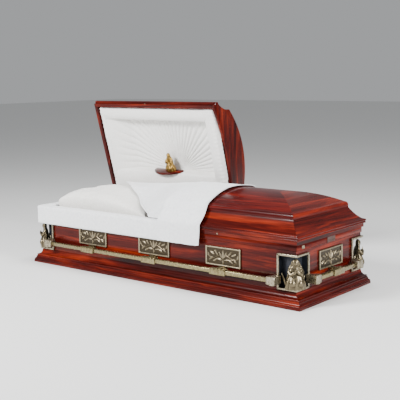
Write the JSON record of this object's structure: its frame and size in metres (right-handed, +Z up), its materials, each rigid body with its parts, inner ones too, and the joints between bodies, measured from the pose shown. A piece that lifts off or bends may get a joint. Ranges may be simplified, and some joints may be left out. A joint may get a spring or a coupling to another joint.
{
  "type": "funeral casket",
  "caption": "Half-couch hardwood funeral casket with a domed two-part lid, cast corner figures, leaf plaques, carrying bars and a white padded interior.",
  "frame": {"origin": "centre of the body's underside, on the floor board", "axes": "+X to the foot end, -Y to the front, +Z up; the lids are hinged along the back, +Y"},
  "size_m": [2.188, 0.9369, 1.075],
  "materials": {
    "wood": "high-gloss red mahogany lacquer with fine dark grain",
    "antique_metal": "cast metal, antique silver-gold plating, dark in the recesses",
    "gilt": "antique gilt",
    "lining": "matt off-white velvet and crepe"
  },
  "bodies": {
    "body": {"bar_arm_back_1": "antique_metal", "bar_arm_back_2": "antique_metal", "bar_arm_back_3": "antique_metal", "bar_arm_foot": "antique_metal", "bar_arm_front_1": "antique_metal", "bar_arm_front_2": "antique_metal", "bar_arm_front_3": "antique_metal", "bar_arm_head": "antique_metal", "bar_back": "antique_metal", "bar_foot": "antique_metal", "bar_front": "antique_metal", "bar_head": "antique_metal", "base_moulding_back": "wood", "base_moulding_foot": "wood", "base_moulding_front": "wood", "base_moulding_head": "wood", "body_board_back": "wood", "body_board_foot": "wood", "body_board_front": "wood", "body_board_head": "wood", "body_rail_back": "wood", "body_rail_foot": "wood", "body_rail_front": "wood", "body_rail_head": "wood", "corner_casting_foot_back": "antique_metal", "corner_casting_foot_front": "antique_metal", "corner_casting_head_back": "antique_metal", "corner_casting_head_front": "antique_metal", "coverlet": "lining", "extendover": "lining", "floor_board": "wood", "foot_hinge_body_leaf": "antique_metal", "head_hinge_body_leaf": "antique_metal", "mattress": "lining", "pillow": "lining", "plaque_back_1": "antique_metal", "plaque_back_2": "antique_metal", "plaque_back_3": "antique_metal", "plaque_foot": "antique_metal", "plaque_front_1": "antique_metal", "plaque_front_2": "antique_metal", "plaque_front_3": "antique_metal", "plaque_head": "antique_metal"},
    "head_lid": {"head_lid_bulkhead": "wood", "head_lid_crown": "wood", "head_lid_frame_back": "wood", "head_lid_frame_end": "wood", "head_lid_frame_front": "wood", "head_lid_lining": "lining", "head_hinge_lid_leaf": "antique_metal", "lid_shelf": "wood", "lid_statuette": "gilt"},
    "foot_lid": {"foot_lid_bulkhead": "wood", "foot_lid_crown": "wood", "foot_lid_frame_back": "wood", "foot_lid_frame_end": "wood", "foot_lid_frame_front": "wood", "foot_lid_lining": "lining", "foot_hinge_lid_leaf": "antique_metal", "overlay_sheet": "lining"}
  },
  "joints": [
    {"name": "head_lid_hinge", "type": "hinge", "parent": "body", "child": "head_lid", "pos_m": [0, 0.37, 0.345], "axis": [1, 0, 0], "range_deg": [0, 75], "deforming": ["extendover", "pillow", "coverlet"]},
    {"name": "foot_lid_hinge", "type": "hinge", "parent": "body", "child": "foot_lid", "pos_m": [0, 0.37, 0.345], "axis": [-1, 0, 0], "range_deg": [0, 75]}
  ]
}
